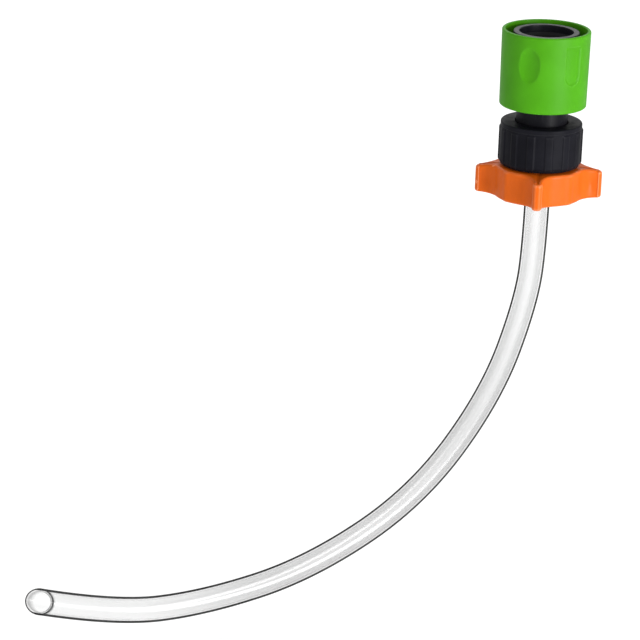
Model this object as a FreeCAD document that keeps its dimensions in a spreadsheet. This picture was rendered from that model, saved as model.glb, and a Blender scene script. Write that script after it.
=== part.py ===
import FreeCAD, Part
import Sketcher
import math
import os
import re

# A push-fit hose coupler with a swivel union nut, a winged clamp nut and a clear siphon hose.
# Units are millimetres.  The Z axis is the coupler's own axis, and the origin is the middle of the
# mouth, the face that a tap stub goes into, so everything hangs below zero.

SIZES = {
    # release sleeve
    "sleeve_length": 31.4, "sleeve_taper": 0.3, "sleeve_rise": 0.9, "rim_gap": 1.95,
    "rim_wall": 1.45, "skirt_wall": 1.9, "edge_break": 0.6, "land_gap": 0.65,
    "land_cone_length": 6.1, "land_plain_length": 2.0, "cone_slope": 0.2,
    "scoop_half_width": 6.2, "scoop_half_height": 8.0, "scoop_half_depth": 2.4,
    "scoop_depth": 1.3, "grip_drop": 11.9, "grip_step_angle": 60, "grip_count": 2,
    "sleeve_turn": 36, "panel_width": 7.3, "panel_height": 15.6, "panel_depth": 0.45,
    # mouth ring
    "mouth_step": 0.75, "ring_wall": 1.75, "ring_flange_width": 1.15, "ring_length": 6.7,
    "ring_flange_height": 1.5, "stop_gap": 0.2,
    # socket body
    "barrel_radius": 11.7, "lead_depth": 3.0, "funnel_depth": 5.0, "seal_bore_radius": 8.6,
    "socket_depth": 24.0, "passage_radius": 6.0, "seal_groove_drop": 20.4,
    "seal_groove_height": 2.6, "seal_groove_depth": 2.0, "guide_drop": 26.5,
    "guide_thickness": 2.3, "guide_gap": 0.5, "body_length": 43.0,
    # claws in their windows
    "claw_count": 4, "claw_sweep": 40, "claw_bite": 0.7, "claw_height": 4.0, "claw_lead": 1.0,
    "claw_gap": 0.2, "claw_cone_gap": 0.15, "window_drop": 0.3, "window_margin_angle": 4,
    # sleeve spring and socket O-ring
    "spring_wire": 1.2, "spring_stand_off": 2.1, "spring_turns": 4.25, "spring_end_gap": 0.3,
    "o_ring_section": 2.2, "o_ring_gap": 0.1,
    # swivel clip
    "clip_thickness": 1.0, "clip_width": 2.9, "clip_play": 0.1, "clip_groove_depth": 1.2,
    "clip_groove_rise": 1.8, "clip_opening": 40,
    # union nut, and how far the neck stands inside it from its bore and below its top
    "union_bore_radius": 13.3, "union_wall": 3.45, "union_rib_height": 0.4, "union_rib_sweep": 11,
    "union_rib_count": 14, "union_height": 17.8, "union_plate": 2.4, "union_collar_step": 0.1,
    "union_collar_height": 2.1, "union_chamfer": 1.6, "neck_inset": 2.8, "neck_reach": 5.6,
    "swivel_gap": 0.3, "union_turn": -4,
    # seal washer and barbed fitting
    "washer_side_gap": 0.5, "washer_bore_radius": 7.5, "washer_thickness": 2.1, "washer_gap": 0.1,
    "upper_thread_length": 9.7, "lower_thread_radius": 10.0, "lower_thread_length": 7.4,
    "thread_gap": 0.3, "barb_length": 6.2, "barb_root_radius": 3.8, "barb_tip_radius": 4.4,
    "barb_count": 3, "barb_end_radius": 3.5, "barb_bore_radius": 2.8,
    # hose
    "hose_radius": 5.25, "hose_bore_radius": 4.0, "hose_swing": 30, "hose_slant": 35,
    # grip ring and winged clamp nut
    "grip_gap": 0.1, "grip_drop_below_fitting": 0.7, "grip_length": 3.3, "grip_top_radius": 8.0,
    "grip_bottom_radius": 6.8, "grip_split": 1.0, "seat_gap": 0.15, "seat_end_gap": 0.3,
    "clamp_gap": 0.5, "clamp_height": 13.3, "clamp_radius": 18.2, "clamp_edge": 0.8,
    "clamp_exit_gap": 0.35, "wing_count": 4, "wing_reach": 25.9, "wing_thickness": 3.8,
    "wing_top_drop": 0.8, "wing_foot_rise": 1.4, "wing_corner": 1.6, "clamp_turn": -4,
}

# Places and sizes that follow from the ones above, all measured downwards from the mouth.
FOLLOWS = {
    "mouth_bore_radius": "barrel_radius - mouth_step",
    "ring_radius": "barrel_radius + ring_wall",
    "ring_flange_radius": "ring_radius + ring_flange_width",
    "rim_bore_radius": "ring_flange_radius + rim_gap",
    "sleeve_radius": "rim_bore_radius + rim_wall",
    "foot_radius": "sleeve_radius - sleeve_taper",
    "skirt_bore_radius": "foot_radius - skirt_wall",
    "sleeve_foot_drop": "sleeve_length - sleeve_rise",
    "land_drop": "ring_length + stop_gap",
    "land_radius": "barrel_radius + land_gap",
    "land_top_radius": "land_radius + cone_slope * land_cone_length",
    "land_foot_drop": "land_drop + land_cone_length + land_plain_length",
    "claw_drop": "lead_depth + funnel_depth + window_drop + claw_gap",
    "claw_outer_top": "land_top_radius - cone_slope * (claw_drop - land_drop) - claw_cone_gap",
    "guide_radius": "skirt_bore_radius - guide_gap",
    "spring_radius": "barrel_radius + spring_stand_off",
    "neck_radius": "union_bore_radius - neck_inset",
    "clip_groove_height": "clip_thickness + 2 * clip_play",
    "clip_groove_radius": "neck_radius - clip_groove_depth",
    "union_drop": "body_length - neck_reach",
    "union_foot_drop": "union_drop + union_height",
    "union_radius": "union_bore_radius + union_wall",
    "union_collar_radius": "union_radius - union_collar_step",
    "union_hole_radius": "neck_radius + swivel_gap",
    "washer_radius": "union_bore_radius - washer_side_gap",
    "fitting_drop": "body_length + washer_gap + washer_thickness",
    "upper_thread_radius": "union_bore_radius - thread_gap",
    "fitting_foot_drop": "fitting_drop + upper_thread_length + lower_thread_length",
    "grip_foot_drop": "fitting_foot_drop + grip_drop_below_fitting + grip_length",
    "clamp_drop": "union_foot_drop + clamp_gap",
    "clamp_foot_drop": "clamp_drop + clamp_height",
}

# The hose hangs in one upright plane.  Each point is how far out it lies from the coupler's axis
# and how far below the barbed fitting's foot, from that foot to the open end.  Each bend takes the
# given share of the shorter leg beside it, and the cut end faces the given way.
HOSE_BEND_SHARE = 0.45
HOSE_CUT_FACES = (0.1, -0.91, 0.4)
HOSE_POINTS = [
    (0.0, 0.0),
    (0.0, 26.0),
    (2.5, 52.0),
    (17.5, 92.0),
    (52.0, 132.0),
    (102.0, 155.0),
    (150.0, 161.0),
    (190.0, 158.0),
    (226.0, 145.0),
]

doc = FreeCAD.newDocument("SiphonHose")
sizes = doc.addObject("Spreadsheet::Sheet", "sizes")
for row, (alias, size) in enumerate(SIZES.items(), start=1):
    sizes.set(f"A{row}", alias)
    sizes.set(f"B{row}", str(size))
    sizes.setAlias(f"B{row}", alias)
doc.recompute()


def bound(formula):
    """The formula with each followed name worked out and each cell named on the sheet."""
    formula = str(formula)
    while any(name in FOLLOWS for name in re.findall(r"[a-z_]+", formula)):
        formula = re.sub(r"[a-z_]+", lambda m: f"({FOLLOWS[m[0]]})" if m[0] in FOLLOWS else m[0],
                         formula)
    return re.sub(r"[a-z_]+", lambda m: f"sizes.{m[0]}" if m[0] in SIZES else m[0], formula)


def value(formula):
    """The number that a formula of sizes comes to."""
    result = sizes.evalExpression(bound(formula))
    return float(getattr(result, "Value", result))


def new_piece(label, bottom_drop, turn=0):
    """A body whose own zero is the piece's lowest face, hung that far below the mouth."""
    body = doc.addObject("PartDesign::Body", label)
    body.Label = label
    body.setExpression(".Placement.Base.z", f"-({bound(bottom_drop)})")
    body.setExpression(".Placement.Rotation.Angle", bound(turn))
    return body


def plane(body, role):
    return next(f for f in body.Origin.OriginFeatures if f.Role == role)


def outline(body, name, points, role="XZ_Plane"):
    """A closed sketch of straight sides, each corner held by two distances from the origin."""
    sketch = body.newObject("Sketcher::SketchObject", f"{body.Label}_{name}")
    sketch.AttachmentSupport = (plane(body, role), [""])
    sketch.MapMode = "FlatFace"
    places = [FreeCAD.Vector(value(x), value(z), 0) for x, z in points]
    for start, end in zip(places, places[1:] + places[:1]):
        sketch.addGeometry(Part.LineSegment(start, end), False)
    for side in range(len(points)):
        following = (side + 1) % len(points)
        sketch.addConstraint(Sketcher.Constraint("Coincident", side, 2, following, 1))
    for side, (x, z) in enumerate(points):
        for kind, formula in (("DistanceX", x), ("DistanceY", z)):
            held = Sketcher.Constraint(kind, -1, 1, side, 1, value(formula))
            index = sketch.addConstraint(held)
            sketch.setExpression(f"Constraints[{index}]", bound(formula))
    return sketch


def turned(body, name, points, kind="Revolution", sweep=360):
    """The outline turned about the piece's axis, or cut out of it when kind is Groove."""
    sketch = outline(body, name, points)
    feature = body.newObject(f"PartDesign::{kind}", f"{body.Label}_{name}_turned")
    feature.Profile = sketch
    feature.ReferenceAxis = (sketch, ["V_Axis"])
    feature.setExpression("Angle", bound(sweep))
    feature.Midplane = sweep != 360
    return feature


def padded(body, name, points, length, kind="Pad", role="XZ_Plane"):
    """The outline pushed both ways out of its plane by half the length, or cut as a Pocket."""
    feature = body.newObject(f"PartDesign::{kind}", f"{body.Label}_{name}_pushed")
    feature.Profile = outline(body, name, points, role)
    feature.Midplane = True
    feature.setExpression("Length", bound(length))
    return feature


def around(body, features, count):
    """The features repeated evenly about the piece's axis."""
    pattern = body.newObject("PartDesign::PolarPattern", f"{body.Label}_{features[0].Name}_round")
    pattern.Originals = features
    pattern.Axis = (plane(body, "Z_Axis"), [""])
    pattern.Angle = 360
    pattern.setExpression("Occurrences", bound(count))
    body.Tip = pattern
    return pattern


def finger_scoop(body):
    """An egg-shaped finger scoop in the sleeve's wall, one grip step to the panel's left."""
    egg = body.newObject("PartDesign::SubtractiveEllipsoid", f"{body.Label}_scoop")
    egg.setExpression("Radius1", bound("scoop_half_height"))
    egg.setExpression("Radius2", bound("scoop_half_depth"))
    egg.setExpression("Radius3", bound("scoop_half_width"))
    angle = math.radians(-90 - value("grip_step_angle"))
    reach = value("sleeve_radius - 0.5 * sleeve_taper + scoop_half_depth - scoop_depth")
    egg.AttachmentSupport = (plane(body, "XY_Plane"), [""])
    egg.MapMode = "FlatFace"
    egg.AttachmentOffset = FreeCAD.Placement(
        FreeCAD.Vector(reach * math.cos(angle), reach * math.sin(angle),
                       value("sleeve_length - grip_drop")),
        FreeCAD.Rotation(FreeCAD.Vector(0, 0, 1), math.degrees(angle)))
    return egg


def label_panel(body):
    """A shallow recess with a round foot, cut into the sleeve's wall from outside."""
    half = "panel_width / 2"
    foot = "sleeve_length - grip_drop - panel_height / 2 + panel_width / 2"
    head = "sleeve_length - grip_drop + panel_height / 2"
    left, right = -value(half), value(half)
    low, high = value(foot), value(head)
    sketch = body.newObject("Sketcher::SketchObject", f"{body.Label}_panel")
    sketch.AttachmentSupport = (plane(body, "XZ_Plane"), [""])
    sketch.MapMode = "FlatFace"
    sketch.setExpression("AttachmentOffset.Base.z", bound("sleeve_radius - panel_depth"))
    vector = FreeCAD.Vector
    sketch.addGeometry([
        Part.LineSegment(vector(left, high, 0), vector(left, low, 0)),
        Part.ArcOfCircle(Part.Circle(vector(0, low, 0), vector(0, 0, 1), right),
                         math.pi, 2 * math.pi),
        Part.LineSegment(vector(right, low, 0), vector(right, high, 0)),
        Part.LineSegment(vector(right, high, 0), vector(left, high, 0)),
    ], False)
    for held in (("Tangent", 0, 2, 1, 1), ("Tangent", 1, 2, 2, 1), ("Coincident", 2, 2, 3, 1),
                 ("Coincident", 3, 2, 0, 1), ("Vertical", 0), ("Horizontal", 3),
                 ("PointOnObject", 1, 3, -2)):
        sketch.addConstraint(Sketcher.Constraint(*held))
    for kind, where, formula in (("Radius", (1,), half), ("DistanceY", (-1, 1, 1, 3), foot),
                                 ("DistanceY", (-1, 1, 0, 1), head)):
        index = sketch.addConstraint(Sketcher.Constraint(kind, *where, value(formula)))
        sketch.setExpression(f"Constraints[{index}]", bound(formula))
    pocket = body.newObject("PartDesign::Pocket", f"{body.Label}_panel_cut")
    pocket.Profile = sketch
    pocket.Reversed = True
    pocket.Type = "ThroughAll"
    return pocket


# Release sleeve: rim and recess at the top, a conical land that holds the claws in, and a skirt
# over the spring.  The land rests under the mouth ring's flange.
sleeve = new_piece("release_sleeve", "sleeve_foot_drop", "sleeve_turn")
land_top = "sleeve_foot_drop - land_drop"
land_foot = "sleeve_foot_drop - land_foot_drop"
turned(sleeve, "wall", [
    ("skirt_bore_radius", 0),
    ("foot_radius - edge_break", 0),
    ("foot_radius", "edge_break"),
    ("sleeve_radius", "sleeve_length - edge_break"),
    ("sleeve_radius - 0.5 * edge_break", "sleeve_length"),
    ("rim_bore_radius + 0.5 * edge_break", "sleeve_length"),
    ("rim_bore_radius", "sleeve_length - edge_break"),
    ("rim_bore_radius", land_top),
    ("land_top_radius", land_top),
    ("land_radius", f"{land_foot} + land_plain_length"),
    ("land_radius", land_foot),
    ("skirt_bore_radius", land_foot),
])
doc.recompute()
scoop = finger_scoop(sleeve)
panel = label_panel(sleeve)
around(sleeve, [scoop, panel], "grip_count")

# Mouth ring: pressed onto the barrel's top, with a flange below that stops the sleeve.
ring = new_piece("mouth_ring", "ring_length")
turned(ring, "wall", [
    ("barrel_radius", 0),
    ("ring_flange_radius", 0),
    ("ring_flange_radius", "ring_flange_height"),
    ("ring_radius", "ring_flange_height"),
    ("ring_radius", "ring_length - edge_break"),
    ("ring_radius - edge_break", "ring_length"),
    ("mouth_bore_radius", "ring_length"),
    ("mouth_bore_radius", "ring_length - lead_depth"),
    ("barrel_radius", "ring_length - lead_depth"),
])

# Socket body: barrel with a funnel, four claw windows and a seal groove, a flange that guides the
# skirt and seats the spring, and the neck with the groove of the swivel clip.
socket = new_piece("coupler_body", "body_length")
turned(socket, "wall", [
    ("passage_radius", 0),
    ("neck_radius", 0),
    ("neck_radius", "clip_groove_rise"),
    ("clip_groove_radius", "clip_groove_rise"),
    ("clip_groove_radius", "clip_groove_rise + clip_groove_height"),
    ("neck_radius", "clip_groove_rise + clip_groove_height"),
    ("neck_radius", "body_length - guide_drop - guide_thickness"),
    ("guide_radius", "body_length - guide_drop - guide_thickness"),
    ("guide_radius", "body_length - guide_drop"),
    ("barrel_radius", "body_length - guide_drop"),
    ("barrel_radius", "body_length - lead_depth"),
    ("mouth_bore_radius", "body_length - lead_depth"),
    ("seal_bore_radius", "body_length - lead_depth - funnel_depth"),
    ("seal_bore_radius", "body_length - seal_groove_drop"),
    ("seal_bore_radius + seal_groove_depth", "body_length - seal_groove_drop"),
    ("seal_bore_radius + seal_groove_depth",
     "body_length - seal_groove_drop - seal_groove_height"),
    ("seal_bore_radius", "body_length - seal_groove_drop - seal_groove_height"),
    ("seal_bore_radius", "body_length - socket_depth"),
    ("passage_radius", "body_length - socket_depth"),
])
window_foot = "body_length - claw_drop - claw_height - claw_gap"
window_head = "body_length - claw_drop + claw_gap"
window = turned(socket, "window", [
    ("seal_bore_radius - claw_bite", window_foot),
    ("barrel_radius + claw_bite", window_foot),
    ("barrel_radius + claw_bite", window_head),
    ("seal_bore_radius - claw_bite", window_head),
], "Groove", "claw_sweep + window_margin_angle")
around(socket, [window], "claw_count")

# Claws: each a wedge of a ring in its own window, sloped outside to match the sleeve's land and
# chamfered inside so that the stub can push it out.
for number in range(int(value("claw_count"))):
    claw = new_piece(f"claw_{number + 1}", "claw_drop + claw_height", f"{number} * 360 / claw_count")
    turned(claw, "wedge", [
        ("seal_bore_radius - claw_bite", 0),
        ("claw_outer_top - cone_slope * claw_height", 0),
        ("claw_outer_top", "claw_height"),
        ("seal_bore_radius - claw_bite + claw_lead", "claw_height"),
        ("seal_bore_radius - claw_bite", "claw_height - claw_lead"),
    ], sweep="claw_sweep")

# Sleeve spring: round wire coiled between the guide flange and the sleeve's land.
spring = new_piece("sleeve_spring", "guide_drop - spring_end_gap")
wire = spring.newObject("Sketcher::SketchObject", "spring_wire_section")
wire.AttachmentSupport = (plane(spring, "XZ_Plane"), [""])
wire.MapMode = "FlatFace"
wire.addGeometry(Part.Circle(FreeCAD.Vector(value("spring_radius"), value("spring_wire / 2"), 0),
                             FreeCAD.Vector(0, 0, 1), value("spring_wire / 2")), False)
for kind, where, formula in (("DistanceX", (-1, 1, 0, 3), "spring_radius"),
                             ("DistanceY", (-1, 1, 0, 3), "spring_wire / 2"),
                             ("Radius", (0,), "spring_wire / 2")):
    index = wire.addConstraint(Sketcher.Constraint(kind, *where, value(formula)))
    wire.setExpression(f"Constraints[{index}]", bound(formula))
coil = spring.newObject("PartDesign::AdditiveHelix", "spring_coil")
coil.Profile = wire
coil.ReferenceAxis = (wire, ["V_Axis"])
coil.Mode = "height-turns-angle"
coil.setExpression("Height", bound("guide_drop - land_foot_drop - 2 * spring_end_gap - spring_wire"))
coil.setExpression("Turns", bound("spring_turns"))

# Socket O-ring, lying in the seal groove and standing a little proud of the bore.
o_ring = doc.addObject("Part::Torus", "socket_o_ring")
o_ring.Label = "socket_o_ring"
o_ring.setExpression("Radius1", bound(
    "seal_bore_radius + seal_groove_depth - o_ring_gap - o_ring_section / 2"))
o_ring.setExpression("Radius2", bound("o_ring_section / 2"))
o_ring.setExpression(".Placement.Base.z", bound("-(seal_groove_drop + seal_groove_height / 2)"))

# Swivel clip: an open snap ring in the neck's groove, which the union nut's top plate pulls on.
clip = new_piece("swivel_clip", "body_length - clip_groove_rise - clip_play")
turned(clip, "ring", [
    ("clip_groove_radius + clip_play", 0),
    ("clip_groove_radius + clip_play + clip_width", 0),
    ("clip_groove_radius + clip_play + clip_width", "clip_thickness"),
    ("clip_groove_radius + clip_play", "clip_thickness"),
], sweep="360 - clip_opening")

# Union nut: a ribbed cup with a hole in its top plate that turns on the neck.
union = new_piece("union_nut", "union_foot_drop", "union_turn")
rib_foot = "union_height - union_collar_height"
turned(union, "wall", [
    ("union_bore_radius", 0),
    ("union_radius - edge_break", 0),
    ("union_radius", "union_chamfer"),
    ("union_radius", rib_foot),
    ("union_collar_radius", rib_foot),
    ("union_collar_radius", "union_height - edge_break"),
    ("union_collar_radius - edge_break", "union_height"),
    ("union_hole_radius", "union_height"),
    ("union_hole_radius", "union_height - union_plate"),
    ("union_bore_radius", "union_height - union_plate"),
])
rib = turned(union, "rib", [
    ("union_radius - union_chamfer", "union_chamfer / 2"),
    ("union_radius - union_rib_height / 2", "union_chamfer / 2"),
    ("union_radius + union_rib_height", "union_chamfer"),
    ("union_radius + union_rib_height", f"{rib_foot} - union_rib_height"),
    ("union_radius", rib_foot),
    ("union_radius - union_chamfer", rib_foot),
], sweep="union_rib_sweep")
around(union, [rib], "union_rib_count")

# Seal washer, lying on the fitting's top under the end of the neck.
washer = new_piece("seal_washer", "fitting_drop")
turned(washer, "ring", [
    ("washer_bore_radius", 0),
    ("washer_radius", 0),
    ("washer_radius", "washer_thickness"),
    ("washer_bore_radius", "washer_thickness"),
])

# Barbed fitting: the upper thread for the union nut, the lower one for the clamp nut, and a stem
# whose barbs slope so that the hose goes on from below and stays on.
fitting = new_piece("barb_fitting", "fitting_foot_drop + barb_length")
barb_pitch = "barb_length / (barb_count + 1)"
barbs = []
for number in range(1, int(value("barb_count")) + 1):
    barbs += [("barb_tip_radius", f"{number} * {barb_pitch}"),
              ("barb_root_radius", f"{number} * {barb_pitch}")]
thread_step = "barb_length + lower_thread_length"
turned(fitting, "wall", [
    ("barb_bore_radius", 0),
    ("barb_end_radius", 0),
    *barbs,
    ("barb_root_radius", "barb_length"),
    ("lower_thread_radius", "barb_length"),
    ("lower_thread_radius", thread_step),
    ("upper_thread_radius", thread_step),
    ("upper_thread_radius", f"{thread_step} + upper_thread_length"),
    ("washer_bore_radius", f"{thread_step} + upper_thread_length"),
    ("washer_bore_radius", thread_step),
    ("barb_bore_radius", "barb_length"),
])

# Grip ring: a split cone round the hose, squeezed by the clamp nut's seat.
grip = new_piece("grip_ring", "grip_foot_drop")
turned(grip, "cone", [
    ("hose_radius + grip_gap", 0),
    ("grip_bottom_radius", 0),
    ("grip_top_radius", "grip_length"),
    ("hose_radius + grip_gap", "grip_length"),
])
padded(grip, "split", [
    ("hose_bore_radius", 0),
    ("grip_top_radius + grip_gap", 0),
    ("grip_top_radius + grip_gap", "grip_length"),
    ("hose_bore_radius", "grip_length"),
], "grip_split", "Pocket")

# Clamp nut: a hub with the lower thread and the grip ring's seat inside, and four wings.
clamp = new_piece("clamp_nut", "clamp_foot_drop", "clamp_turn")
seat_slope = "(grip_top_radius - grip_bottom_radius) / grip_length"
seat_foot = "clamp_foot_drop - grip_foot_drop - seat_end_gap"
seat_head = "clamp_foot_drop - fitting_foot_drop - seat_end_gap"
grip_head = "clamp_foot_drop - grip_foot_drop + grip_length"
turned(clamp, "hub", [
    ("hose_radius + clamp_exit_gap", 0),
    ("clamp_radius - clamp_edge", 0),
    ("clamp_radius", "clamp_edge"),
    ("clamp_radius", "clamp_height - clamp_edge"),
    ("clamp_radius - clamp_edge", "clamp_height"),
    ("lower_thread_radius + thread_gap", "clamp_height"),
    ("lower_thread_radius + thread_gap", seat_head),
    (f"grip_top_radius + seat_gap + {seat_slope} * (({seat_head}) - ({grip_head}))", seat_head),
    (f"grip_bottom_radius + seat_gap - {seat_slope} * seat_end_gap", seat_foot),
    ("hose_radius + clamp_exit_gap", seat_foot),
])
wing = padded(clamp, "wing", [
    ("clamp_radius - wing_thickness", 0),
    ("wing_reach - wing_corner", "wing_foot_rise"),
    ("wing_reach", "wing_foot_rise + wing_corner"),
    ("wing_reach", "clamp_height - wing_top_drop - wing_corner"),
    ("wing_reach - wing_corner", "clamp_height - wing_top_drop"),
    ("clamp_radius - wing_thickness", "clamp_height"),
], "wing_thickness")
around(clamp, [wing], "wing_count")


def hose_path():
    """The hose's middle line in its own plane: straight runs joined by the widest tangent arcs."""
    places = [FreeCAD.Vector(-out, 0, -down) for out, down in HOSE_POINTS]
    edges, start, radii = [], places[0], []
    for before, corner, after in zip(places, places[1:], places[2:]):
        inward, outward = (corner - before).normalize(), (after - corner).normalize()
        turn = inward.getAngle(outward)
        reach = HOSE_BEND_SHARE * min((corner - before).Length, (after - corner).Length)
        radii.append(reach / math.tan(turn / 2))
        entry, leave = corner - inward * reach, corner + outward * reach
        middle = (corner + (outward - inward).normalize()
                  * radii[-1] * (1 / math.cos(turn / 2) - 1))
        edges += [Part.LineSegment(start, entry).toShape(),
                  Part.Arc(entry, middle, leave).toShape()]
        start = leave
    edges.append(Part.LineSegment(start, places[-1]).toShape())
    return Part.Wire(edges), radii, (places[-1] - places[-2]).normalize()


# Hose: a soft clear tube pushed over the barbs, with its open end cut at a slant that faces the
# front and upwards.
path, bend_radii, end_way = hose_path()
foot = FreeCAD.Vector(0, 0, 0)
walls = []
for name in ("hose_radius", "hose_bore_radius"):
    ring_edge = Part.makeCircle(value(name), foot, FreeCAD.Vector(0, 0, -1))
    walls.append(Part.Wire(path.Edges).makePipeShell([Part.Wire(ring_edge)], True, False))
tube = walls[0].cut(walls[1])
section = math.pi * (value("hose_radius") ** 2 - value("hose_bore_radius") ** 2)
print("hose bend radii", [round(r, 1) for r in bend_radii])
print("hose length", round(path.Length, 2), "volume over section times length",
      round(tube.Volume / (section * path.Length), 5))

# The slanted cut turns the end's face from square across the hose towards the front.  A block
# much wider than the hose takes the rest away.
hose_plane = FreeCAD.Rotation(FreeCAD.Vector(0, 0, 1), value("hose_swing"))
end = FreeCAD.Vector(-HOSE_POINTS[-1][0], 0, -HOSE_POINTS[-1][1])
front = hose_plane.inverted().multVec(FreeCAD.Vector(*HOSE_CUT_FACES))
slant_axis = end_way.cross(front).normalize()
slant = FreeCAD.Rotation(slant_axis, value("hose_slant"))
cut_way = slant.multVec(end_way)
block_size = 8 * value("hose_radius")
block = Part.makeBox(block_size, block_size, block_size,
                     FreeCAD.Vector(-block_size / 2, -block_size / 2, 0))
reach_back = value("hose_radius") * math.tan(math.radians(value("hose_slant")))
block.Placement = FreeCAD.Placement(end - end_way * reach_back,
                                    FreeCAD.Rotation(FreeCAD.Vector(0, 0, 1), cut_way))
hose = doc.addObject("Part::Feature", "hose")
hose.Label = "hose"
hose.Shape = tube.cut(block)
hose.Placement = FreeCAD.Placement(FreeCAD.Vector(0, 0, -value("fitting_foot_drop")), hose_plane)

doc.recompute()
failed = [thing.Name for thing in doc.Objects
          if "Invalid" in thing.State or "Error" in thing.State]
if failed:
    raise SystemExit(f"these failed to build: {failed}")
pieces = [thing for thing in doc.Objects
          if thing.TypeId in ("PartDesign::Body", "Part::Feature", "Part::Torus")]
os.makedirs("parts", exist_ok=True)
for piece in pieces:
    if piece.Shape.isNull() or not piece.Shape.isValid() or not piece.Shape.Solids:
        raise SystemExit(f"{piece.Label} has no sound solid")
for piece in pieces:
    piece.Shape.exportStep(f"parts/{piece.Label}.step")
    print(f"{piece.Label:16} solids {len(piece.Shape.Solids)}  volume {piece.Shape.Volume:9.2f}")
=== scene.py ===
import math
import bpy
import numpy as np
from mathutils import Matrix, Vector


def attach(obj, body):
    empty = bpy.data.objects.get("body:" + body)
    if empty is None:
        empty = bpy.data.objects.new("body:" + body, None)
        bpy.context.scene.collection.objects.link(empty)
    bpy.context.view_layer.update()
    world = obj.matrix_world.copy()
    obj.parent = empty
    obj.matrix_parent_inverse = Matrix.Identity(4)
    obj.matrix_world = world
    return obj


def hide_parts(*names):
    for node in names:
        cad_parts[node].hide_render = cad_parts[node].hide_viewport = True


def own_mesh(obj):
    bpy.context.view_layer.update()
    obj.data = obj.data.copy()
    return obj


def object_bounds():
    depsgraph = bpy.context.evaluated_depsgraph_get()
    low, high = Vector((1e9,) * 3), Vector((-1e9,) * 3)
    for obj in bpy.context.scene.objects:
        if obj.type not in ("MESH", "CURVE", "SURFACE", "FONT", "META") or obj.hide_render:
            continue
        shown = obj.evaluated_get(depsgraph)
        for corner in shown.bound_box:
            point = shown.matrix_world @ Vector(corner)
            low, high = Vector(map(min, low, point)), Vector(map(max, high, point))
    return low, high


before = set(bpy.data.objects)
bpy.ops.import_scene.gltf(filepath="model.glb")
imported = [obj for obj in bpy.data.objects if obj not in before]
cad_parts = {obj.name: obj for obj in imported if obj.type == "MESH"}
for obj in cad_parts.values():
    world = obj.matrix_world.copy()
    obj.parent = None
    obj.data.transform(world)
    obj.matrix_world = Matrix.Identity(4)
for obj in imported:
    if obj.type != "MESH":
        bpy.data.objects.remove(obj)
cad_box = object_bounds()


# Camera: a long lens a little above the coupler, rolled slightly so that the coupler leans.

camera = bpy.data.objects.new("camera", bpy.data.cameras.new("camera"))
bpy.context.collection.objects.link(camera)
bpy.context.scene.camera = camera
camera.data.lens, camera.data.sensor_width = 157.5, 36.0
camera.matrix_world = (Matrix.Translation((-0.0737, -1.1065, 0.2574))
                       @ Matrix.Rotation(math.radians(0.73), 4, "Z")
                       @ Matrix.Rotation(math.radians(90 - 19.14), 4, "X")
                       @ Matrix.Rotation(math.radians(1.75), 4, "Z"))


# Hose: clear soft PVC, extruded, cut with a blade at a slant and still curled from its coil.
# It is pushed over the fitting's barbs, and its route bends round the model tube's own points.

MM = 0.001
TURN = 2 * math.pi
HOSE_RADIUS, HOSE_BORE = 5.25 * MM, 4.0 * MM
HOSE_SWING, HOSE_SLANT = math.radians(30), math.radians(35)
HOSE_CUT_FACES = (0.1, -0.91, 0.4)
HOSE_ROWS, LIP_ROWS, HOSE_COLUMNS = 280, 9, 72
LIP_BULGE, LEAN_LENGTH = 0.18, 0.03
HOSE_POINTS = [(0.0, -0.0623), (0.0, -0.0883), (0.0025, -0.1143), (0.0175, -0.1543),
               (0.0520, -0.1943), (0.1020, -0.2173), (0.1500, -0.2233), (0.1900, -0.2203),
               (0.2260, -0.2073)]


def smooth_line(name, points):
    """The points that Blender's own NURBS curve of order 3 passes through, as an array."""
    curve = bpy.data.curves.new(name, "CURVE")
    curve.dimensions = "3D"
    curve.resolution_u = 24
    spline = curve.splines.new("NURBS")
    spline.points.add(len(points) - 1)
    for place, point in zip(spline.points, points):
        place.co = (*point, 1)
    spline.order_u = 3
    spline.use_endpoint_u = True
    holder = bpy.data.objects.new(name, curve)
    mesh = bpy.data.meshes.new_from_object(holder)
    line = np.empty(len(mesh.vertices) * 3)
    mesh.vertices.foreach_get("co", line)
    bpy.data.objects.remove(holder)
    return line.reshape(-1, 3)


def grid_piece(name, places, close_u=True):
    """A mesh of quads over a grid of places[u, v], joined round along v, and along u unless
    close_u is false.  The UV map's X is the share of the way round v, and its Y along u."""
    rows, columns = places.shape[:2]
    index = np.arange(rows * columns).reshape(rows, columns)
    down = np.roll(index, -1, 0) if close_u else index[1:]
    here = index if close_u else index[:-1]
    right, down_right = np.roll(here, -1, 1), np.roll(down, -1, 1)
    quads = np.stack([here, right, down_right, down], -1).reshape(-1, 4)
    mesh = bpy.data.meshes.new(name)
    mesh.vertices.add(rows * columns)
    mesh.vertices.foreach_set("co", places.reshape(-1))
    mesh.loops.add(quads.size)
    mesh.loops.foreach_set("vertex_index", quads.reshape(-1))
    mesh.polygons.add(len(quads))
    mesh.polygons.foreach_set("loop_start", np.arange(len(quads)) * 4)
    mesh.polygons.foreach_set("use_smooth", np.ones(len(quads), bool))
    mesh.update(calc_edges=True)
    across, along = np.meshgrid(np.arange(columns + 1), np.arange(rows + 1))
    share = np.stack([across / columns, along / rows], -1)
    u, v = np.meshgrid(np.arange(len(quads) // columns), np.arange(columns), indexing="ij")
    corners = np.stack([share[u, v], share[u, v + 1], share[u + 1, v + 1], share[u + 1, v]], 2)
    mesh.uv_layers.new(name="UVMap").data.foreach_set("uv", corners.reshape(-1))
    mesh.validate()
    piece = bpy.data.objects.new(name, mesh)
    bpy.context.collection.objects.link(piece)
    return piece


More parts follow.
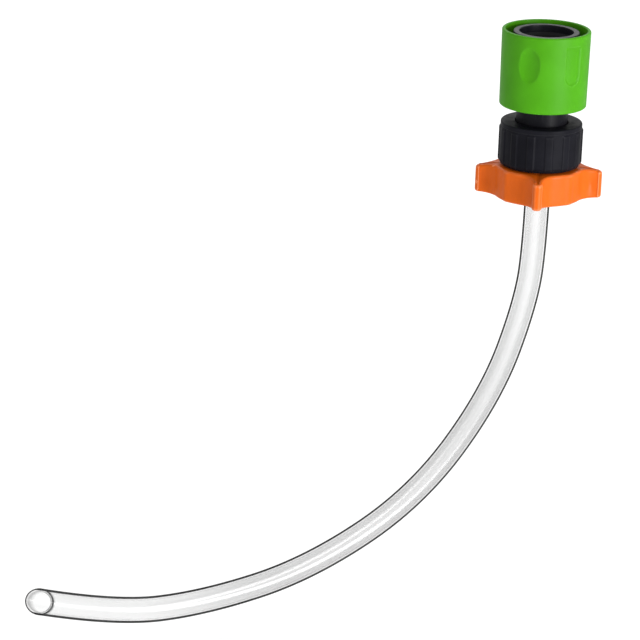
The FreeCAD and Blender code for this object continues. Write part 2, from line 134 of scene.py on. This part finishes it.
def hose_surface(line, plane_normal, front):
    """The tube's places[u, v]: u goes out along the outside, over the lip and back up the bore,
    v round it.

    A ring of radius r stands on the middle line at each distance, turned about the route's plane.
    Towards the open end each ring leans, by radius times tan(slant), until it lies in the cut."""
    steps = np.linalg.norm(np.diff(line, axis=0), axis=1)
    travelled = np.concatenate([[0], np.cumsum(steps)])
    length = travelled[-1]
    wall = HOSE_RADIUS - HOSE_BORE
    turn = np.linspace(0, math.pi, LIP_ROWS)
    lip_radius = (HOSE_RADIUS + HOSE_BORE) / 2 + 0.5 * wall * np.cos(turn)
    lip_reach = LIP_BULGE * wall * np.sin(turn) - LIP_BULGE * wall
    outward = np.linspace(0, length - 0.3 * wall, HOSE_ROWS)
    distance = np.concatenate([outward, length + lip_reach, outward[::-1]])
    radius = np.concatenate([np.full(HOSE_ROWS, HOSE_RADIUS), lip_radius,
                             np.full(HOSE_ROWS, HOSE_BORE)])
    around = np.linspace(0, TURN, HOSE_COLUMNS, endpoint=False) - math.pi / 2
    end_way = (line[-1] - line[-2]) / steps[-1]
    side = front - front.dot(end_way) * end_way
    side /= np.linalg.norm(side)
    inward = np.cross(plane_normal, end_way)
    lean_from = math.atan2(-side.dot(plane_normal), -side.dot(inward))
    near_end = np.clip((distance - length) / LEAN_LENGTH + 1, 0, 1) ** 2
    lean = math.tan(HOSE_SLANT) * (radius[:, None] * np.cos(around - lean_from) - HOSE_RADIUS)
    place = distance[:, None] + near_end[:, None] * lean
    middle = np.stack([np.interp(place, travelled, line[:, k]) for k in range(3)], -1)
    tangents = np.gradient(line, travelled, axis=0)
    way = np.stack([np.interp(place, travelled, tangents[:, k]) for k in range(3)], -1)
    way /= np.linalg.norm(way, axis=-1, keepdims=True)
    normal = np.cross(plane_normal, way)
    return (middle + radius[:, None, None] * (np.cos(around)[None, :, None] * normal
            + np.sin(around)[None, :, None] * plane_normal))


def new_material(name):
    """A new node material, with its nodes, its links and its shader."""
    material = bpy.data.materials.new(name)
    material.use_nodes = True
    nodes, links = material.node_tree.nodes, material.node_tree.links
    return material, nodes, links, nodes["Principled BSDF"]


def noise(nodes, links, source, scale, detail, stretch=(1, 1, 1)):
    """A noise pattern of that many cells to a unit of its source, stretched along the axes."""
    mapping, pattern = nodes.new("ShaderNodeMapping"), nodes.new("ShaderNodeTexNoise")
    mapping.inputs["Scale"].default_value = stretch
    pattern.inputs["Scale"].default_value = scale
    pattern.inputs["Detail"].default_value = detail
    links.new(source, mapping.inputs["Vector"])
    links.new(mapping.outputs[0], pattern.inputs["Vector"])
    return pattern.outputs["Fac"]


def spread(nodes, links, source, low, high, start=0.3, end=0.7):
    """The source value spread from start..end to low..high, held at both ends."""
    ranged = nodes.new("ShaderNodeMapRange")
    for socket, number in (("From Min", start), ("From Max", end), ("To Min", low),
                           ("To Max", high)):
        ranged.inputs[socket].default_value = number
    links.new(source, ranged.inputs["Value"])
    return ranged.outputs["Result"]


def bump(nodes, links, height, distance, strength, shader, before=None):
    """A bump of that depth in metres on the shader's normal, on top of an earlier bump."""
    node = nodes.new("ShaderNodeBump")
    node.inputs["Distance"].default_value = distance
    node.inputs["Strength"].default_value = strength
    links.new(height, node.inputs["Height"])
    if before is not None:
        links.new(before, node.inputs["Normal"])
    links.new(node.outputs[0], shader.inputs["Normal"])
    return node.outputs[0]


def ramp(nodes, links, source, *stops):
    """Greys along a ramp: each stop is a place from 0 to 1 and how light it is there."""
    node = nodes.new("ShaderNodeValToRGB")
    elements = node.color_ramp.elements
    while len(elements) < len(stops):
        elements.new(0.5)
    for element, (position, grey) in zip(elements, stops):
        element.position, element.color = position, (grey, grey, grey, 1)
    links.new(source, node.inputs["Fac"])
    return node.outputs["Color"]


def clear_pvc(name, edge_on, along, strength):
    """Clear soft PVC wall.  Each list holds stops for a ramp: edge_on, how much light it lets
    through from face-on to edge-on, a painted shade that darkens the tube towards its outline;
    along, how much along the surface from the fitting to the open end and back up the bore;
    strength, how much of edge_on counts there.  Faint streaks of less light run along the length,
    part extrusion streaks and part painted shade, under a wet gloss and a thin milky haze."""
    material, nodes, links, skin = new_material(name)
    uv = nodes.new("ShaderNodeTexCoord").outputs["UV"]
    split = nodes.new("ShaderNodeSeparateXYZ")
    links.new(uv, split.inputs[0])
    streaks = noise(nodes, links, uv, 1, 3, (7, 0.9, 1))
    fine = noise(nodes, links, uv, 1, 2, (24, 1.5, 1))
    cloud = noise(nodes, links, uv, 1, 4, (5, 30, 1))
    skin.inputs["Base Color"].default_value = (0.80, 0.82, 0.82, 1)
    skin.inputs["Roughness"].default_value = 0.3
    facing = nodes.new("ShaderNodeLayerWeight")
    facing.inputs["Blend"].default_value = 0.5
    streaked, taken = nodes.new("ShaderNodeMix"), nodes.new("ShaderNodeMix")
    for node in (streaked, taken):
        node.data_type, node.blend_type = "RGBA", "MULTIPLY"
    streaked.inputs["Factor"].default_value = 1
    # Painted shade: the light let through is cut along the length, by the streaks, and towards the
    # outline by edge_on.
    links.new(ramp(nodes, links, split.outputs["Y"], *along), streaked.inputs["A"])
    links.new(ramp(nodes, links, streaks, (0.38, 0.95), (0.55, 0.99), (0.64, 1.0)),
              streaked.inputs["B"])
    links.new(streaked.outputs["Result"], taken.inputs["A"])
    links.new(ramp(nodes, links, facing.outputs["Facing"], *edge_on), taken.inputs["B"])
    links.new(ramp(nodes, links, split.outputs["Y"], *strength), taken.inputs["Factor"])
    window = nodes.new("ShaderNodeBsdfTransparent")
    links.new(taken.outputs["Result"], window.inputs["Color"])
    wet = nodes.new("ShaderNodeBsdfGlossy")
    wet.inputs["Roughness"].default_value = 0.16
    bump(nodes, links, fine, 0.00005, 0.4, wet)
    mirrored = ramp(nodes, links, facing.outputs["Facing"], (0, 0.02), (0.5, 0.03), (0.75, 0.08),
                    (1, 0.6))
    glass, mix = nodes.new("ShaderNodeMixShader"), nodes.new("ShaderNodeMixShader")
    for node, factor, under, over in (
            (glass, mirrored, window.outputs[0], wet.outputs[0]),
            (mix, spread(nodes, links, cloud, 0.01, 0.04), glass.outputs[0], skin.outputs[0])):
        links.new(factor, node.inputs[0])
        links.new(under, node.inputs[1])
        links.new(over, node.inputs[2])
    links.new(mix.outputs[0], nodes["Material Output"].inputs["Surface"])
    return material


swing_out = np.array([-math.cos(HOSE_SWING), -math.sin(HOSE_SWING), 0])
hose_normal = np.array([math.sin(HOSE_SWING), -math.cos(HOSE_SWING), 0])
hose_line = smooth_line("hose_route",
                        [tuple(out * swing_out + (0, 0, z)) for out, z in HOSE_POINTS])
hose_places = hose_surface(hose_line, hose_normal, np.array(HOSE_CUT_FACES))
hose = grid_piece("clear_hose", hose_places)
# Painted shade on the outside: the sides darken to a black outline edge-on, a stretch a little way
# out from the fitting is greyer, and a dark band is painted on the outer half of the cut lip.
hose.data.materials.append(clear_pvc(
    "clear_pvc_outside", [(0, 1), (0.46, 0.98), (0.52, 0.25), (0.57, 0.01), (1, 0)],
    [(0, 0.99), (0.06, 0.97), (0.16, 0.88), (0.34, 0.885), (0.42, 0.99), (0.4915, 1),
     (0.4925, 0.1), (0.5, 0.1)], [(0, 1), (1, 1)]))
# Painted shade in the bore: the inner wall is painted greyer, most towards the fitting, and a grey
# ring is painted just inside the cut lip.
hose.data.materials.append(clear_pvc(
    "clear_pvc_bore", [(0, 1), (0.05, 0.98), (0.20, 0.89), (0.85, 0.88), (1, 0.95)],
    [(0, 1), (0.502, 1), (0.504, 0.5), (0.508, 0.5), (0.510, 1), (1, 1)],
    [(0, 0.2), (0.58, 0.2), (0.68, 0.9), (1, 1)]))
inside = np.zeros(len(hose.data.polygons), dtype=np.int32)
inside.reshape(len(hose_places), -1)[HOSE_ROWS + LIP_ROWS // 2:-1] = 1
hose.data.polygons.foreach_set("material_index", inside)
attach(hose, "tail")
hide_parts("hose")


# Release sleeve: bright green moulded shell that slides on the socket, with a finger scoop on
# each side of two shallow label panels, a conical land inside and an open skirt over the spring.

SLEEVE_TURN = math.radians(-90 + 36)
SLEEVE_RADIUS, GRIP_HEIGHT, GRIP_STEP = 17.85 * MM, -11.0 * MM, TURN / 6
SCOOP_DEPTH, SCOOP_EGG = 1.3 * MM, (6.2 * MM, 2.4 * MM, 8.0 * MM)
BRIM_SOFTNESS = 0.10 * MM
PANEL_HALF, PANEL_TALL, PANEL_DEPTH = 3.65 * MM, 7.8 * MM, 0.42 * MM
PANEL_EDGE = (-0.05 * MM, 0.35 * MM)


def rounded(corners, spacing):
    """A closed outline as arrays of radius and height, from corners (radius, height, rounding).

    Each corner becomes an arc that is tangent to its two sides, and straight stretches are
    divided evenly at about the spacing, all in millimetres; the result is in metres."""
    points = np.array([corner[:2] for corner in corners], float)
    before, after = np.roll(points, 1, 0) - points, np.roll(points, -1, 0) - points
    before /= np.linalg.norm(before, axis=1, keepdims=True)
    after /= np.linalg.norm(after, axis=1, keepdims=True)
    arcs = []
    for point, back, on, (_, _, rounding) in zip(points, before, after, corners):
        if not rounding:
            arcs.append(point[None])
            continue
        half = 0.5 * math.acos(np.clip(back.dot(on), -1, 1))
        reach = rounding / math.tan(half)
        middle = point + (back + on) / np.linalg.norm(back + on) * rounding / math.sin(half)
        start, end = point + back * reach - middle, point + on * reach - middle
        share = np.linspace(0, 1, 2 + int(16 * min(rounding, 1.0)))[:, None]
        sweep = math.pi - 2 * half
        arcs.append(middle + (np.sin((1 - share) * sweep) * start
                              + np.sin(share * sweep) * end) / math.sin(sweep))
    pieces = []
    for arc, following in zip(arcs, arcs[1:] + arcs[:1]):
        gap = np.linalg.norm(following[0] - arc[-1])
        count = max(1, round(gap / spacing))
        share = np.linspace(0, 1, count, endpoint=False)[1:, None]
        pieces += [arc, arc[-1] + share * (following[0] - arc[-1])]
    outline = np.concatenate(pieces) * MM
    return outline[:, 0], outline[:, 1]


def ring_places(radius, height, angles):
    """places[u, v] of a surface turned about the coupler's axis.  Height is given along u, and
    radius too, or over the whole grid where the shape isn't round."""
    radius, height = radius.reshape(len(height), -1), height[:, None]
    return np.stack(np.broadcast_arrays(radius * np.cos(angles), radius * np.sin(angles),
                                        height), -1)


def smooth_step(value, start, end):
    """0 up to start and 1 from end on, and between them three times the square of the share of
    the way less twice its cube."""
    share = np.clip((value - start) / (end - start), 0, 1)
    return share * share * (3 - 2 * share)


def moulded_plastic(name, colour, roughness, gloss=0.3, grain=1.0, tone=0.06, edge=None):
    """Injection-moulded plastic: an even colour with faint flow clouding, a fine eroded grain,
    a few handling rubs that dull the gloss, and a painted highlight that lightens the sharp edges
    to the edge colour where one is given and else to a slightly paler colour."""
    material, nodes, links, skin = new_material(name)
    where = nodes.new("ShaderNodeTexCoord").outputs["Object"]
    cloud = noise(nodes, links, where, 90, 3)
    rubs = noise(nodes, links, where, 260, 6, (1, 1, 0.35))
    pores = noise(nodes, links, where, 5200, 2)
    mix = nodes.new("ShaderNodeMix")
    mix.data_type = "RGBA"
    mix.inputs["A"].default_value = (*[c * (1 - tone) for c in colour], 1)
    mix.inputs["B"].default_value = (*[min(1, c * (1 + tone) + 0.001) for c in colour], 1)
    links.new(spread(nodes, links, cloud, 0, 1), mix.inputs["Factor"])
    # Painted highlight: where pointiness finds a sharp edge, the colour turns paler.
    painted_edge_highlight = nodes.new("ShaderNodeMix")
    painted_edge_highlight.data_type = "RGBA"
    painted_edge_highlight.inputs["B"].default_value = (*(edge or [c * 1.15 + 0.012 for c in colour]), 1)
    edges = spread(nodes, links, nodes.new("ShaderNodeNewGeometry").outputs["Pointiness"],
                   0, 0.8, 0.512, 0.545)
    links.new(edges, painted_edge_highlight.inputs["Factor"])
    links.new(mix.outputs["Result"], painted_edge_highlight.inputs["A"])
    links.new(painted_edge_highlight.outputs["Result"], skin.inputs["Base Color"])
    links.new(spread(nodes, links, rubs, roughness - 0.05, roughness + 0.09),
              skin.inputs["Roughness"])
    first = bump(nodes, links, pores, 0.00004 * grain, 0.35, skin)
    bump(nodes, links, rubs, 0.00008 * grain, 0.15, skin, first)
    skin.inputs["Specular IOR Level"].default_value = gloss
    return material


def sleeve_surface():
    """The sleeve's places[u, v]: its wall's outline turned about the axis, with the outside
    pressed in by the scoops and the label panels.

    A scoop is the near side of an egg that stands beside the wall: its depth at a point is the
    wall's radius less the egg's, softened at the brim.  A panel is a step of even depth inside a
    slot with a round foot."""
    radius, height = rounded([
        (15.8, -30.5, 0.3), (17.7, -30.5, 0.7), (18.0, 0.9, 0.75), (16.55, 0.9, 0.5),
        (16.55, -6.9, 0.3), (13.57, -6.9, 0.25), (12.35, -13.0, 0), (12.35, -15.0, 0.2),
        (15.8, -15.0, 0.2)], 0.45)
    angles = np.linspace(0, TURN, 416, endpoint=False)
    outside = (radius > 17.5 * MM)[:, None]
    egg_wide, egg_deep, egg_tall = SCOOP_EGG
    pressed = np.zeros((len(radius), len(angles)))
    for middle, scooped in ((-GRIP_STEP, True), (0, False),
                            (TURN / 2 - GRIP_STEP, True), (TURN / 2, False)):
        bearing = (angles - SLEEVE_TURN - middle + math.pi) % TURN - math.pi
        near = (np.abs(bearing) < 0.6)[None, :] & outside
        across = radius[:, None] * np.sin(bearing)[None, :]
        rise = (height - GRIP_HEIGHT)[:, None]
        if scooped:
            bulge = 1 - (across / egg_wide) ** 2 - (rise / egg_tall) ** 2
            egg = SLEEVE_RADIUS - SCOOP_DEPTH + egg_deep * (1 - np.sqrt(np.clip(bulge, 0, None)))
            depth = radius[:, None] - egg / np.cos(bearing)[None, :]
            depth = 0.5 * (depth + np.sqrt(depth ** 2 + BRIM_SOFTNESS ** 2))
            depth = np.where(bulge > 0, depth, 0)
        else:
            foot = np.minimum(rise + PANEL_TALL - PANEL_HALF, 0)
            inside = np.maximum(np.hypot(across, foot) - PANEL_HALF, rise - PANEL_TALL)
            depth = PANEL_DEPTH * smooth_step(-inside, *PANEL_EDGE)
        pressed = np.where(near, np.maximum(pressed, depth), pressed)
    return ring_places(radius[:, None] - pressed, height, angles)


sleeve = grid_piece("release_sleeve_shell", sleeve_surface())
# The edge colour is the pale green of the painted highlight along the sleeve's edges.
sleeve.data.materials.append(moulded_plastic("green_plastic", (0.055, 0.275, 0.003), 0.42, 0.12,
                                            edge=(0.12, 0.39, 0.05)))
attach(sleeve, "sleeve")
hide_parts("release_sleeve")


# Mouth ring: black glass-filled plastic, pressed on the socket's barrel.  Its face is the black
# ring inside the green rim, and its flange stops the sleeve.

radius, height = rounded([
    (11.72, -6.7, 0.1), (14.6, -6.7, 0.25), (14.6, -5.2, 0.3), (13.45, -5.2, 0.2),
    (13.45, 0, 0.55), (10.95, 0, 0.35), (10.95, -3.0, 0.05), (11.72, -3.0, 0.05)], 0.4)
mouth = grid_piece("mouth_ring_cap",
                   ring_places(radius, height, np.linspace(0, TURN, 192, endpoint=False)))
mouth.data.materials.append(moulded_plastic("ring_plastic", (0.009, 0.009, 0.014), 0.36, 0.25,
                                            tone=0.25))
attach(mouth, "socket")
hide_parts("mouth_ring")


# Union nut: black ribbed cup with a hole in its top plate, free to turn on the neck.  Fourteen
# low ribs, and a coarse right-hand thread inside that draws the fitting up.

UNION_LEAD, CLAMP_LEAD = 1.8143, 2.0
NUT_TURN = math.radians(-4)
RIB_COUNT, RIB_HEIGHT = 14, 0.4 * MM
RIB_CREST, RIB_FOOT = math.radians(4.3), math.radians(6.6)
UNION_BORE, UNION_ROOT = 13.3, 0.1 * MM


def thread(height, angles, lead, depth, start, end):
    """How far a right-hand thread stands off its wall: a rounded ridge whose height climbs by one
    lead in each turn, fading in and out over the first and last 0.6 of a turn.  The lead, depth,
    start and end are in millimetres."""
    climb = (height[:, None] / MM / lead - angles[None, :] / TURN) % 1
    ridge = np.clip(0.5 + 0.9 * np.cos(TURN * climb), 0, 1)
    tall = height[:, None] / MM
    fade = (smooth_step(tall, start, start + 0.6 * lead)
            * (1 - smooth_step(tall, end - 0.6 * lead, end)))
    return depth * MM * ridge * fade


def union_surface():
    """The union nut's places[u, v]: its outline turned about the axis, raised outside by evenly
    spaced ribs with soft flanks and inside by a thread."""
    radius, height = rounded([
        (UNION_BORE, -55.2, 0.3), (16.1, -55.2, 0.3), (16.75, -53.5, 0.4), (16.75, -39.5, 0.35),
        (16.65, -39.45, 0), (16.65, -37.4, 0.6), (10.8, -37.4, 0.3), (10.8, -39.8, 0.2),
        (UNION_BORE, -39.8, 0.2)], 0.3)
    angles = np.linspace(0, TURN, 416, endpoint=False)
    spacing = TURN / RIB_COUNT
    from_rib = np.abs((angles - NUT_TURN + spacing / 2) % spacing - spacing / 2)
    rib = 1 - smooth_step(from_rib, RIB_CREST, RIB_FOOT)
    tall = smooth_step(height / MM, -55.0, -53.9) * (1 - smooth_step(height / MM, -40.3, -39.7))
    raised = np.where(radius > 16.0 * MM, tall, 0)[:, None] * rib[None, :] * RIB_HEIGHT
    inside = (np.abs(radius - UNION_BORE * MM) < 1e-6)[:, None]
    cut = np.where(inside, thread(height, angles, UNION_LEAD, 0.55, -54.9, -42.5), 0)
    return ring_places(radius[:, None] + raised + UNION_ROOT * inside - cut, height, angles)


union = grid_piece("union_nut_shell", union_surface())
union.data.materials.append(moulded_plastic("black_nut_plastic", (0.0065, 0.0065, 0.0095), 0.42,
                                            0.06, tone=0.25))
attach(union, "union")
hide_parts("union_nut")


# Clamp nut: orange moulded hub with four wings to turn it by.  A thread inside climbs the fitting,
# and a cone below it squeezes the grip ring on the hose.  The measures are in millimetres.

WING_REACH, WING_HALF, WING_TIP, WING_WAIST = 25.9, 1.95, 1.5, 0.22
HUB_RADIUS, HUB_RIDGE, BLEND_RADIUS, EDGE_ROUNDING = 18.25, 0.55, 8.0, 1.1
CLAMP_FOOT, CLAMP_TOP, WING_FOOT_RISE, WING_TOP_DROP = -69.0, -55.7, 0.6, 1.6
THUMB_DEPTH, THUMB_REACH, THUMB_HALF, THUMB_SHARE, THUMB_TALL = 0.5, 21.4, 1.6, 0.52, 0.3
CLAMP_BORE, CLAMP_RIM = 10.4, 10.5


def wing_outline(count):
    """The clamp nut's plan as an array of (x, y), evenly spaced along its edge.

    In one eighth of the turn the edge goes round the wing's blunt tip, steps in to a slight
    waist, and through a wide hollow blend up to a soft ridge on the hub at 45 degrees."""
    across = np.linspace(0, WING_HALF, 60)
    tip = np.stack([WING_REACH - WING_TIP * (across / WING_HALF) ** 3.2, across], -1)
    share = np.linspace(0, 1, 30)[1:]
    waist = WING_HALF - WING_WAIST * smooth_step(share, 1 / 14, 16 / 14)
    top = waist[-1] + BLEND_RADIUS
    middle_x = math.sqrt((HUB_RADIUS + BLEND_RADIUS) ** 2 - top ** 2)
    corner_x = WING_REACH - WING_TIP
    flank = np.stack([corner_x + share * (middle_x - corner_x), waist], -1)
    end = math.pi + math.atan2(top, middle_x)
    sweep = np.linspace(1.5 * math.pi, end, 80)[1:]
    blend = np.stack([middle_x + BLEND_RADIUS * np.cos(sweep),
                      top + BLEND_RADIUS * np.sin(sweep)], -1)
    start = math.atan2(blend[-1, 1], blend[-1, 0])
    bearing = np.linspace(start, math.pi / 4, 80)[1:]
    ridge = HUB_RADIUS + HUB_RIDGE * np.exp(-((bearing - math.pi / 4) / math.radians(6)) ** 2)
    hub = ridge[:, None] * np.stack([np.cos(bearing), np.sin(bearing)], -1)
    eighth = np.concatenate([tip, flank, blend, hub])
    quarter = np.concatenate([eighth, eighth[-2:0:-1, ::-1]])
    turns = []
    for quarter_turn in range(4):
        turn = quarter_turn * TURN / 4 + NUT_TURN
        cos, sin = math.cos(turn), math.sin(turn)
        turns.append(quarter @ np.array([[cos, sin], [-sin, cos]]))
    edge = np.concatenate(turns)
    closed = np.concatenate([edge, edge[:1]])
    travelled = np.concatenate([[0], np.cumsum(np.linalg.norm(np.diff(closed, axis=0), axis=1))])
    place = np.linspace(0, travelled[-1], count, endpoint=False)
    return np.stack([np.interp(place, travelled, closed[:, k]) for k in range(2)], -1)


def clamp_surface():
    """The clamp nut's places[u, v]: v goes round the winged plan, u up the outside, over the top,
    down the thread and the seat and back under.

    Top and foot fall and rise from the hub's edge to the wing's tip.  Both edges are rounded by
    drawing the plan in along its normal, and so is a shallow thumb hollow in each flank."""
    edge = wing_outline(480)
    reach, bearing = np.hypot(edge[:, 0], edge[:, 1]), np.arctan2(edge[:, 1], edge[:, 0])
    outward = np.gradient(np.concatenate([edge[-2:], edge, edge[:2]]), axis=0)[2:-2]
    outward = np.stack([outward[:, 1], -outward[:, 0]], -1)
    outward /= np.linalg.norm(outward, axis=1, keepdims=True)
    on_wing = np.clip((reach - 17.5) / (WING_REACH - 17.5), 0, 1)
    foot = CLAMP_FOOT + WING_FOOT_RISE * on_wing ** 0.8
    top = CLAMP_TOP - WING_TOP_DROP * on_wing ** 1.2
    turn = np.linspace(0, math.pi / 2, 9)
    rows = []

    def row(drawn_in, height):
        drawn = edge - np.reshape(drawn_in, (-1, 1)) * outward
        rows.append(np.stack([drawn[:, 0], drawn[:, 1], np.broadcast_to(height, reach.shape)], -1))

    def circle(radius, height):
        rows.append(np.stack([radius * np.cos(bearing), radius * np.sin(bearing),
                              np.broadcast_to(height, reach.shape)], -1))

    for angle in turn:
        row(EDGE_ROUNDING * (1 - math.sin(angle)), foot + EDGE_ROUNDING * (1 - math.cos(angle)))
    along_wing = reach * np.cos((bearing - NUT_TURN + math.pi / 4) % (math.pi / 2) - math.pi / 4)
    for share in np.linspace(0, 1, 22)[1:-1]:
        thumb = THUMB_DEPTH * np.exp(-((along_wing - THUMB_REACH) / THUMB_HALF) ** 2
                                     - ((share - THUMB_SHARE) / THUMB_TALL) ** 2)
        row(thumb, foot + EDGE_ROUNDING + share * (top - foot - 2 * EDGE_ROUNDING))
    for angle in turn:
        row(EDGE_ROUNDING * (1 - math.cos(angle)), top - EDGE_ROUNDING * (1 - math.sin(angle)))
    inner = rows[-1]
    for share in np.linspace(0, 1, 10)[1:]:
        rim = np.stack([CLAMP_RIM * np.cos(bearing), CLAMP_RIM * np.sin(bearing),
                        np.full_like(reach, CLAMP_TOP)], -1)
        rows.append(inner + share * (rim - inner))
    for height in np.linspace(-55.9, -62.4, 46):
        climb = thread(np.array([height * MM]), bearing, CLAMP_LEAD, 0.6, -62.3, -56.1)[0] / MM
        circle(CLAMP_BORE - climb, height)
    for radius, height in ((10.3, -62.6), (8.3, -62.6), (8.24, -62.7), (7.6, -64.6), (6.88, -66.5),
                           (6.8, -66.6), (5.75, -66.6), (5.6, -66.75), (5.6, -68.0), (5.7, -68.7),
                           (6.1, CLAMP_FOOT)):
        circle(radius, height)
    last, first = rows[-1], rows[0]
    for share in np.linspace(0, 1, 10)[1:-1]:
        rows.append(last + share * (first - last))
    return np.array(rows) * MM


clamp = grid_piece("clamp_nut_winged", clamp_surface())
# The edge colour is the pale orange of the painted highlight along the clamp nut's edges.
clamp.data.materials.append(moulded_plastic("orange_plastic", (0.60, 0.100, 0.003), 0.36, 0.14,
                                            tone=0.04, edge=(0.80, 0.27, 0.12)))
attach(clamp, "clamp")
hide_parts("clamp_nut")


# Sleeve spring: drawn stainless wire in a little over four turns, squeezed between the socket's
# flange and the sleeve's land.

bright_wire, wire_nodes, wire_links, wire_skin = new_material("bright_wire")
wire_skin.inputs["Base Color"].default_value = (0.62, 0.62, 0.63, 1)
wire_skin.inputs["Metallic"].default_value = 1.0
wire_grain = noise(wire_nodes, wire_links,
                   wire_nodes.new("ShaderNodeTexCoord").outputs["UV"], 40, 4, (1, 12, 1))
wire_links.new(spread(wire_nodes, wire_links, wire_grain, 0.18, 0.38),
               wire_skin.inputs["Roughness"])
bump(wire_nodes, wire_links, wire_grain, 0.00003, 0.4, wire_skin)


def spring_surface(turns, mean, wire, foot, head):
    """The spring's places[u, v]: a circle of the wire's radius carried up a helix, its two ends
    drawn shut."""
    along = np.linspace(0, TURN * turns, 420)
    height = foot + wire / 2 + (head - foot - wire) * along / along[-1]
    centre = np.stack([mean * np.cos(along), mean * np.sin(along), height], -1)
    out = np.stack([np.cos(along), np.sin(along), np.zeros_like(along)], -1)
    way = np.gradient(centre, axis=0)
    way /= np.linalg.norm(way, axis=1, keepdims=True)
    up = np.cross(out, way)
    round_wire = np.linspace(0, TURN, 16, endpoint=False)
    girth = np.full_like(along, wire / 2)
    girth[0] = girth[-1] = 0
    centre[0], centre[-1] = centre[1], centre[-2]
    ring = (np.cos(round_wire)[None, :, None] * out[:, None]
            - np.sin(round_wire)[None, :, None] * up[:, None])
    return (centre[:, None] + girth[:, None, None] * ring) * MM


spring = grid_piece("sleeve_spring_coil", spring_surface(4.25, 13.8, 1.2, -26.2, -15.3),
                    close_u=False)
spring.data.materials.append(bright_wire)
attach(spring, "socket")
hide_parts("sleeve_spring")
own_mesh(spring)


# Barbed fitting: black, with a thread above for the union nut, a smaller one below for the clamp
# nut, and a stem with three barbs that the hose is pushed over.

UNION_STUD, CLAMP_STUD, THREAD_DEPTH = 13.0, 10.0, 0.6
black_plastic = moulded_plastic("black_plastic", (0.006, 0.006, 0.0085), 0.38, 0.12, tone=0.25)


def fitting_surface():
    """The fitting's places[u, v]: its outline turned about the axis, with both threads cut into
    it by lowering the wall between their ridges."""
    radius, height = rounded([
        (2.8, -68.5, 0.1), (3.5, -68.5, 0.15), (4.4, -66.95, 0.1), (3.8, -66.93, 0.1),
        (4.4, -65.4, 0.1), (3.8, -65.38, 0.1), (4.4, -63.85, 0.1), (3.8, -63.83, 0.1),
        (3.8, -62.3, 0.1), (CLAMP_STUD, -62.3, 0.3), (CLAMP_STUD, -54.9, 0.2),
        (UNION_STUD, -54.9, 0.4), (UNION_STUD, -45.2, 0.3), (7.5, -45.2, 0.3),
        (7.5, -54.9, 0.3), (2.8, -62.3, 0.3)], 0.17)
    angles = np.linspace(0, TURN, 216, endpoint=False)
    lowered = np.zeros((len(radius), len(angles)))
    for wall, lead, start, end in ((UNION_STUD, UNION_LEAD, -54.6, -45.6),
                                   (CLAMP_STUD, CLAMP_LEAD, -62.0, -55.2)):
        on_wall = (np.abs(radius - wall * MM) < 1e-6)[:, None]
        ridge = thread(height, angles, lead, THREAD_DEPTH, start, end)
        valley = THREAD_DEPTH * MM * smooth_step(height / MM, start, start + 0.5)[:, None]
        lowered = np.where(on_wall, valley - ridge, lowered)
    return ring_places(radius[:, None] - np.clip(lowered, 0, None), height, angles)


fitting = grid_piece("barb_fitting_threaded", fitting_surface())
fitting.data.materials.append(black_plastic)
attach(fitting, "tail")
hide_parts("barb_fitting")


# The pieces that keep their modelled shape: the socket, the four white acetal claws, the seals,
# the snap ring and the grip ring.

white_acetal = moulded_plastic("white_acetal", (0.72, 0.71, 0.67), 0.35, tone=0.03)
seal_rubber = moulded_plastic("seal_rubber", (0.016, 0.016, 0.016), 0.6, 0.3, grain=1.5, tone=0.2)
for node, finish in (("coupler_body", black_plastic), ("socket_o_ring", seal_rubber),
                     ("seal_washer", seal_rubber), ("swivel_clip", bright_wire),
                     ("grip_ring", white_acetal), ("claw_1", white_acetal),
                     ("claw_2", white_acetal), ("claw_3", white_acetal),
                     ("claw_4", white_acetal)):
    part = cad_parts[node]
    part.data.materials.clear()
    part.data.materials.append(finish)


# Studio: pale floor, low enough for the hose when the fitting is screwed right down, in a pale
# surround.  A large soft key light from the front right, weak fills from the left and from below,
# and a broad light over the floor behind.  The floor doesn't mirror in the pieces.

FLOOR_DROP, FLOOR_HALF = 8.5 * MM, 4
floor_height = cad_box[0][2] - FLOOR_DROP
floor_mesh = bpy.data.meshes.new("floor")
floor_mesh.from_pydata([(x * FLOOR_HALF, y * FLOOR_HALF, floor_height)
                        for x, y in ((-1, -1), (1, -1), (1, 1), (-1, 1))], [], [(0, 1, 2, 3)])
floor = bpy.data.objects.new("floor", floor_mesh)
bpy.context.collection.objects.link(floor)
floor_paint, _, _, floor_skin = new_material("floor_paint")
floor_skin.inputs["Base Color"].default_value = (0.95, 0.95, 0.95, 1)
floor_skin.inputs["Roughness"].default_value = 0.9
floor_skin.inputs["Emission Color"].default_value = (1, 1, 1, 1)
floor_skin.inputs["Emission Strength"].default_value = 0.18
floor.data.materials.append(floor_paint)
floor.visible_glossy = False

coupler_middle = Vector((0, 0, -0.04))
for name, spot, size, energy, shines in (
        ("key_light", (0.80, -0.90, 0.02), 0.50, 14.5, True),
        ("fill_light", (-0.78, -0.45, 0.0), 0.50, 0.3, False),
        ("low_light", (0.05, -0.35, -0.17), 0.10, 0.15, False),
        ("floor_light", (-0.2, 0.9, 1.0), 1.2, 9, True)):
    light = bpy.data.objects.new(name, bpy.data.lights.new(name, "AREA"))
    light.data.size, light.data.energy = size, energy
    light.location = spot
    light.visible_camera, light.visible_glossy = False, shines
    light.rotation_euler = (coupler_middle - light.location).to_track_quat("-Z", "Y").to_euler()
    bpy.context.collection.objects.link(light)

world = bpy.data.worlds.new("surround")
bpy.context.scene.world = world
world.use_nodes = True
world.node_tree.nodes["Background"].inputs["Color"].default_value = (1, 1, 1, 1)
world.node_tree.nodes["Background"].inputs["Strength"].default_value = 0.62
bpy.context.scene.view_settings.view_transform = "Standard"
